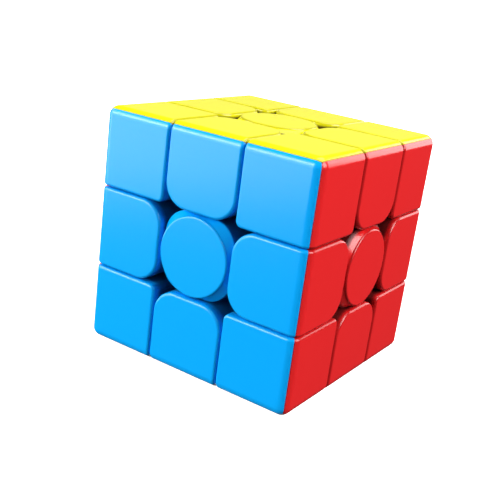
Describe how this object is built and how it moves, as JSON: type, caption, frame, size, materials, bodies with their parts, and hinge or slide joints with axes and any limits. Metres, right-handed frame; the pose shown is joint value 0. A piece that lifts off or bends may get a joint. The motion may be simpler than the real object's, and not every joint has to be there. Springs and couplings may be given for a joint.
{
  "type": "twisty puzzle cube",
  "caption": "Twisty puzzle cube with coloured moulded tiles, whose layers turn about a spring-tensioned core behind snap-in centre caps.",
  "frame": {"origin": "centre of the core, where all six turning axes meet", "axes": "+Z out of the yellow top face, -Y out of the blue front face, +X out of the red right face"},
  "size_m": [0.056, 0.056, 0.056],
  "materials": {
    "yellow_shell": "yellow moulded shell, satin gloss",
    "white_shell": "white moulded shell, satin gloss",
    "blue_shell": "blue moulded shell, satin gloss",
    "green_shell": "green moulded shell, satin gloss",
    "red_shell": "red moulded shell, satin gloss",
    "orange_shell": "orange moulded shell, satin gloss",
    "feet_nylon": "black moulded feet, fine matte",
    "core_nylon": "dark grey moulded core, matte",
    "steel": "plain turned steel"
  },
  "bodies": {
    "core_and_middle": {"centre_base_back": "green_shell", "centre_base_front": "blue_shell", "centre_base_left": "orange_shell", "centre_base_right": "red_shell", "core": "core_nylon", "edge_feet_middle": "feet_nylon", "edge_shells_middle_blue": "blue_shell", "edge_shells_middle_green": "green_shell", "edge_shells_middle_orange": "orange_shell", "edge_shells_middle_red": "red_shell", "tension_spring_back": "steel", "tension_spring_bottom": "steel", "tension_spring_front": "steel", "tension_spring_left": "steel", "tension_spring_right": "steel", "tension_spring_top": "steel"},
    "top_layer": {"centre_base_top": "yellow_shell", "corner_feet_top": "feet_nylon", "corner_shells_top_blue": "blue_shell", "corner_shells_top_green": "green_shell", "corner_shells_top_orange": "orange_shell", "corner_shells_top_red": "red_shell", "corner_shells_top_yellow": "yellow_shell", "edge_feet_top": "feet_nylon", "edge_shells_top_blue": "blue_shell", "edge_shells_top_green": "green_shell", "edge_shells_top_orange": "orange_shell", "edge_shells_top_red": "red_shell", "edge_shells_top_yellow": "yellow_shell"},
    "bottom_layer": {"centre_base_bottom": "white_shell", "corner_feet_bottom": "feet_nylon", "corner_shells_bottom_blue": "blue_shell", "corner_shells_bottom_green": "green_shell", "corner_shells_bottom_orange": "orange_shell", "corner_shells_bottom_red": "red_shell", "corner_shells_bottom_white": "white_shell", "edge_feet_bottom": "feet_nylon", "edge_shells_bottom_blue": "blue_shell", "edge_shells_bottom_green": "green_shell", "edge_shells_bottom_orange": "orange_shell", "edge_shells_bottom_red": "red_shell", "edge_shells_bottom_white": "white_shell"},
    "back_cap": {"centre_cap_back": "green_shell"},
    "bottom_cap": {"centre_cap_bottom": "white_shell"},
    "front_cap": {"centre_cap_front": "blue_shell"},
    "left_cap": {"centre_cap_left": "orange_shell"},
    "right_cap": {"centre_cap_right": "red_shell"},
    "top_cap": {"centre_cap_top": "yellow_shell"},
    "back_tension_screw": {"tension_screw_back": "steel"},
    "bottom_tension_screw": {"tension_screw_bottom": "steel"},
    "front_tension_screw": {"tension_screw_front": "steel"},
    "left_tension_screw": {"tension_screw_left": "steel"},
    "right_tension_screw": {"tension_screw_right": "steel"},
    "top_tension_screw": {"tension_screw_top": "steel"},
    "back_washer": {"tension_washer_back": "steel"},
    "bottom_washer": {"tension_washer_bottom": "steel"},
    "front_washer": {"tension_washer_front": "steel"},
    "left_washer": {"tension_washer_left": "steel"},
    "right_washer": {"tension_washer_right": "steel"},
    "top_washer": {"tension_washer_top": "steel"}
  },
  "joints": [
    {"name": "top_layer_turn", "type": "hinge", "parent": "core_and_middle", "child": "top_layer", "pos_m": [0, 0, 0], "axis": [0, 0, 1], "continuous": true},
    {"name": "bottom_layer_turn", "type": "hinge", "parent": "core_and_middle", "child": "bottom_layer", "pos_m": [0, 0, 0], "axis": [0, 0, -1], "continuous": true},
    {"name": "top_cap_pull", "type": "slide", "parent": "top_layer", "child": "top_cap", "axis": [0, 0, 1], "range_m": [0, 0.006]},
    {"name": "top_washer_press", "type": "slide", "parent": "core_and_middle", "child": "top_washer", "axis": [0, 0, 1], "range_m": [-0.0008, 0], "deforming": ["tension_spring_top"]},
    {"name": "top_screw_turn", "type": "hinge", "parent": "top_washer", "child": "top_tension_screw", "pos_m": [0, 0, 0], "axis": [0, 0, 1], "range_deg": [-360, 0]},
    {"name": "bottom_cap_pull", "type": "slide", "parent": "bottom_layer", "child": "bottom_cap", "axis": [0, 0, -1], "range_m": [0, 0.006]},
    {"name": "bottom_washer_press", "type": "slide", "parent": "core_and_middle", "child": "bottom_washer", "axis": [0, 0, -1], "range_m": [-0.0008, 0], "deforming": ["tension_spring_bottom"]},
    {"name": "bottom_screw_turn", "type": "hinge", "parent": "bottom_washer", "child": "bottom_tension_screw", "pos_m": [0, 0, 0], "axis": [0, 0, -1], "range_deg": [-360, 0]},
    {"name": "front_cap_pull", "type": "slide", "parent": "core_and_middle", "child": "front_cap", "axis": [0, -1, 0], "range_m": [0, 0.006]},
    {"name": "front_washer_press", "type": "slide", "parent": "core_and_middle", "child": "front_washer", "axis": [0, -1, 0], "range_m": [-0.0008, 0], "deforming": ["tension_spring_front"]},
    {"name": "front_screw_turn", "type": "hinge", "parent": "front_washer", "child": "front_tension_screw", "pos_m": [0, 0, 0], "axis": [0, -1, 0], "range_deg": [-360, 0]},
    {"name": "back_cap_pull", "type": "slide", "parent": "core_and_middle", "child": "back_cap", "axis": [0, 1, 0], "range_m": [0, 0.006]},
    {"name": "back_washer_press", "type": "slide", "parent": "core_and_middle", "child": "back_washer", "axis": [0, 1, 0], "range_m": [-0.0008, 0], "deforming": ["tension_spring_back"]},
    {"name": "back_screw_turn", "type": "hinge", "parent": "back_washer", "child": "back_tension_screw", "pos_m": [0, 0, 0], "axis": [0, 1, 0], "range_deg": [-360, 0]},
    {"name": "right_cap_pull", "type": "slide", "parent": "core_and_middle", "child": "right_cap", "axis": [1, 0, 0], "range_m": [0, 0.006]},
    {"name": "right_washer_press", "type": "slide", "parent": "core_and_middle", "child": "right_washer", "axis": [1, 0, 0], "range_m": [-0.0008, 0], "deforming": ["tension_spring_right"]},
    {"name": "right_screw_turn", "type": "hinge", "parent": "right_washer", "child": "right_tension_screw", "pos_m": [0, 0, 0], "axis": [1, 0, 0], "range_deg": [-360, 0]},
    {"name": "left_cap_pull", "type": "slide", "parent": "core_and_middle", "child": "left_cap", "axis": [-1, 0, 0], "range_m": [0, 0.006]},
    {"name": "left_washer_press", "type": "slide", "parent": "core_and_middle", "child": "left_washer", "axis": [-1, 0, 0], "range_m": [-0.0008, 0], "deforming": ["tension_spring_left"]},
    {"name": "left_screw_turn", "type": "hinge", "parent": "left_washer", "child": "left_tension_screw", "pos_m": [0, 0, 0], "axis": [-1, 0, 0], "range_deg": [-360, 0]}
  ],
  "couplings": [
    {"joint": "top_screw_turn", "follows": "top_washer_press", "rad_per_m": 7854},
    {"joint": "bottom_screw_turn", "follows": "bottom_washer_press", "rad_per_m": 7854},
    {"joint": "front_screw_turn", "follows": "front_washer_press", "rad_per_m": 7854},
    {"joint": "back_screw_turn", "follows": "back_washer_press", "rad_per_m": 7854},
    {"joint": "right_screw_turn", "follows": "right_washer_press", "rad_per_m": 7854},
    {"joint": "left_screw_turn", "follows": "left_washer_press", "rad_per_m": 7854}
  ]
}
